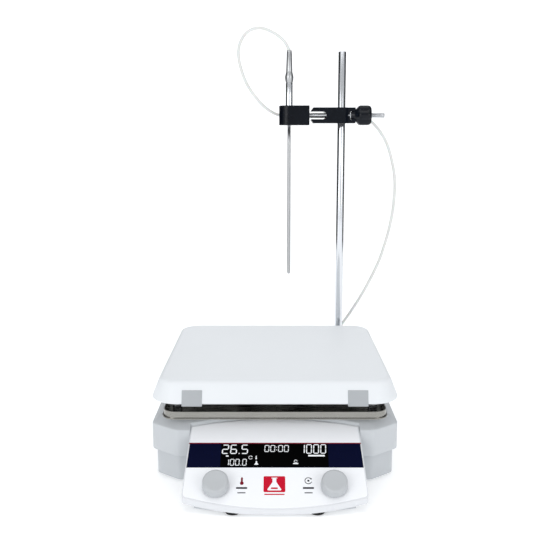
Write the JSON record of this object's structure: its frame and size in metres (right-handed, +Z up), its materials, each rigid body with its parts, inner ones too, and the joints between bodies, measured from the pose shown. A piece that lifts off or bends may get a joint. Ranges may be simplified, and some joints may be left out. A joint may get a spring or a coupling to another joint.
{
  "type": "magnetic hotplate stirrer",
  "caption": "Bench-top magnetic hotplate stirrer with a square white plate, sloping control console, support rod, rod clamp and an immersion temperature probe on a cord.",
  "frame": {"origin": "centre of the plate's top face, on the stirring axis", "axes": "+Z up out of the plate, -Y towards the console at the front, +X to the right seen from the front"},
  "size_m": [0.2963, 0.3829, 0.5039],
  "materials": {
    "white_ceramic": "gloss",
    "clip_grey": "satin",
    "heater_alloy": "satin",
    "ceramic_fibre": "matte",
    "stainless_sheet": "satin",
    "bright_steel": "gloss",
    "housing_grey": "satin",
    "base_grey": "satin",
    "cover_white": "gloss",
    "film_white": "gloss",
    "film_navy": "gloss",
    "lcd_black": "gloss",
    "board_green": "satin",
    "die_cast": "satin",
    "white_nylon": "matte",
    "knob_grey": "matte",
    "copper_winding": "satin",
    "dark_steel": "satin",
    "magnet_black": "matte",
    "wire_sleeve": "matte",
    "plate_grey": "satin",
    "inlet_black": "matte",
    "fuse_glass": "gloss",
    "clamp_black": "satin",
    "knob_black": "matte",
    "polished_steel": "polished",
    "sheath_steel": "satin",
    "foot_rubber": "matte",
    "plug_black": "matte",
    "cord_white": "matte"
  },
  "bodies": {
    "stirrer": {"ceramic_plate": "white_ceramic", "plate_clips": "clip_grey", "heater_element": "heater_alloy", "insulation_board": "ceramic_fibre", "heater_pan": "stainless_sheet", "plate_sensor": "bright_steel", "heat_tray": "stainless_sheet", "tray_standoffs": "bright_steel", "upper_housing": "housing_grey", "base_pan": "base_grey", "feet": "foot_rubber", "housing_screws": "bright_steel", "console_cover": "cover_white", "panel_overlay": "film_white", "display_window": "film_navy", "lcd_module": "lcd_black", "display_board": "board_green", "temp_encoder": "die_cast", "speed_encoder": "die_cast", "motor_can": "die_cast", "motor_stator": "copper_winding", "motor_bearings": "bright_steel", "motor_bracket": "stainless_sheet", "motor_screws": "dark_steel", "main_board": "board_green", "power_board": "board_green", "heater_leads": "wire_sleeve", "rear_plate": "plate_grey", "mains_inlet": "inlet_black", "switch_frame": "inlet_black", "data_port": "stainless_sheet", "probe_socket": "bright_steel", "rod_holder": "die_cast", "probe_plug": "plug_black", "cord_lower": "cord_white"},
    "temp_push": {"temp_plunger": "white_nylon"},
    "temp_dial": {"temp_shaft": "bright_steel", "temp_knob": "knob_grey"},
    "speed_push": {"speed_plunger": "white_nylon"},
    "speed_dial": {"speed_shaft": "bright_steel", "speed_knob": "knob_grey"},
    "stirring_drive": {"motor_rotor": "dark_steel", "motor_shaft": "bright_steel", "magnet_yoke": "dark_steel", "drive_magnets": "magnet_black"},
    "rocker": {"power_rocker": "inlet_black"},
    "fuse_holder": {"fuse_drawer": "inlet_black", "fuses": "fuse_glass"},
    "rod": {"support_rod": "polished_steel", "cord_upper": "cord_white"},
    "clamp": {"rod_jaw": "clamp_black", "probe_jaw": "clamp_black", "clamp_stud": "bright_steel", "clamp_washer": "bright_steel", "cord_loop": "cord_white"},
    "clamp_grip": {"clamp_knob": "knob_black"},
    "probe": {"probe_sheath": "sheath_steel", "probe_handle": "polished_steel", "probe_ferrule": "sheath_steel", "probe_sleeve": "sheath_steel"}
  },
  "joints": [
    {"name": "temp_knob_push", "type": "slide", "parent": "stirrer", "child": "temp_push", "axis": [0, 0.5592, -0.829], "range_m": [0, 0.0008], "stiffness_N_per_m": 4000},
    {"name": "temp_knob_turn", "type": "hinge", "parent": "temp_push", "child": "temp_dial", "pos_m": [-0.0586, -0.17203, -0.09281], "axis": [0, -0.5592, 0.829], "continuous": true},
    {"name": "speed_knob_push", "type": "slide", "parent": "stirrer", "child": "speed_push", "axis": [0, 0.5592, -0.829], "range_m": [0, 0.0008], "stiffness_N_per_m": 4000},
    {"name": "speed_knob_turn", "type": "hinge", "parent": "speed_push", "child": "speed_dial", "pos_m": [0.0586, -0.17203, -0.09281], "axis": [0, -0.5592, 0.829], "continuous": true},
    {"name": "stirring_spin", "type": "hinge", "parent": "stirrer", "child": "stirring_drive", "pos_m": [0, 0, -0.06], "axis": [0, 0, 1], "continuous": true},
    {"name": "power_rocker_tilt", "type": "hinge", "parent": "stirrer", "child": "rocker", "pos_m": [-0.081, 0.135, -0.079], "axis": [1, 0, 0], "range_deg": [-16, 0]},
    {"name": "fuse_drawer_slide", "type": "slide", "parent": "stirrer", "child": "fuse_holder", "axis": [0, 1, 0], "range_m": [0, 0.014]},
    {"name": "rod_turn", "type": "hinge", "parent": "stirrer", "child": "rod", "pos_m": [0.087, 0.145, -0.06], "axis": [0, 0, 1], "range_deg": [-20, 60], "deforming": ["cord_lower"]},
    {"name": "clamp_slide", "type": "slide", "parent": "rod", "child": "clamp", "axis": [0, 0, 1], "range_m": [-0.04, 0.04], "deforming": ["cord_upper"]},
    {"name": "clamp_knob_turn", "type": "hinge", "parent": "clamp", "child": "clamp_grip", "pos_m": [0.11, 0.136, 0.276], "axis": [1, 0, 0], "range_deg": [0, 720]},
    {"name": "probe_slide", "type": "slide", "parent": "clamp", "child": "probe", "axis": [0, 0, 1], "range_m": [-0.022, 0.008], "deforming": ["cord_loop"]}
  ]
}
